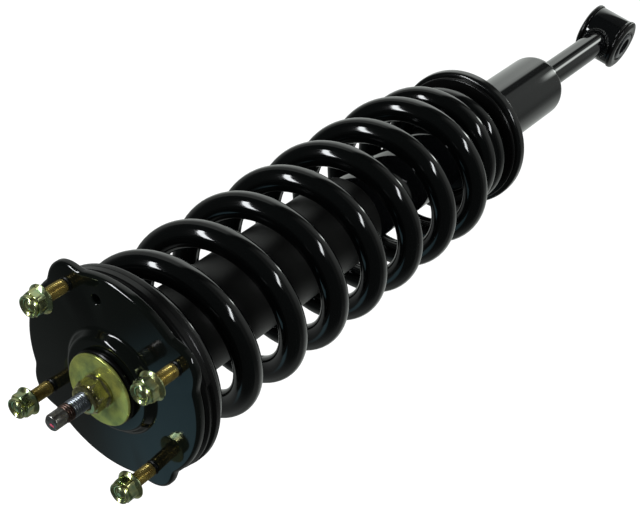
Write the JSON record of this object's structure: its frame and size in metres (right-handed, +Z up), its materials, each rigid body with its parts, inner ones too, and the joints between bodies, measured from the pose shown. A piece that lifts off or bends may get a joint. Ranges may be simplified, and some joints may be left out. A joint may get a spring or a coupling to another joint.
{
  "type": "coil-over strut assembly",
  "caption": "Suspension strut with a twin-tube damper, coil spring, dust boot, studded top mount and rubber-bushed lower eye.",
  "frame": {"origin": "centre of the lower eye's bore", "axes": "+Z up along the damper's axis towards the top mount, Y along the lower eye's bolt, X across it"},
  "size_m": [0.1232, 0.1242, 0.6611],
  "materials": {
    "gloss_black_paint": "gloss black paint over steel",
    "satin_black_paint": "satin black dip paint over pressed steel",
    "bare_steel": "oiled machined steel",
    "rod_chrome": "hard-chromed and polished, dark phosphate on the threads",
    "yellow_zinc": "yellow chromate zinc plating",
    "rubber": "moulded black rubber, semi-matt",
    "boot_plastic": "matt black moulded thermoplastic",
    "bump_foam": "cellular polyurethane",
    "low_friction_plastic": "filled PTFE band"
  },
  "bodies": {
    "damper": {"damper_tube": "gloss_black_paint", "lower_stem": "gloss_black_paint", "eye_ring": "gloss_black_paint", "eye_bushing": "rubber", "lower_spring_seat": "satin_black_paint", "lower_spring_pad": "rubber", "coil_spring": "gloss_black_paint", "base_valve": "bare_steel", "pressure_tube": "bare_steel", "rod_guide": "bare_steel", "oil_seal": "rubber", "striker_cap": "satin_black_paint"},
    "rod": {"piston_rod": "rod_chrome", "piston": "bare_steel", "piston_band": "low_friction_plastic", "piston_nut": "bare_steel", "rebound_stop": "rubber", "bump_stop": "bump_foam", "dust_boot": "boot_plastic", "lower_washer": "satin_black_paint", "spacer_sleeve": "bare_steel", "upper_washer": "yellow_zinc", "rod_nut": "yellow_zinc"},
    "mount": {"mount_plate": "gloss_black_paint", "mount_studs": "yellow_zinc", "stud_nuts": "yellow_zinc", "upper_spring_seat": "satin_black_paint", "upper_insulator": "rubber", "lower_cushion": "rubber", "upper_cushion": "rubber"},
    "eye_bolt_sleeve": {"eye_sleeve": "bare_steel"}
  },
  "joints": [
    {"name": "stroke", "type": "slide", "parent": "damper", "child": "rod", "axis": [0, 0, 1], "range_m": [-0.105, 0], "stiffness_N_per_m": 80000, "deforming": ["coil_spring"]},
    {"name": "mount_twist", "type": "hinge", "parent": "rod", "child": "mount", "pos_m": [0, 0, 0.5978], "axis": [0, 0, 1], "range_deg": [-8, 8], "stiffness_Nm_per_rad": 20},
    {"name": "eye_twist", "type": "hinge", "parent": "damper", "child": "eye_bolt_sleeve", "pos_m": [0, 0, 0], "axis": [0, 1, 0], "range_deg": [-20, 20], "stiffness_Nm_per_rad": 30}
  ]
}
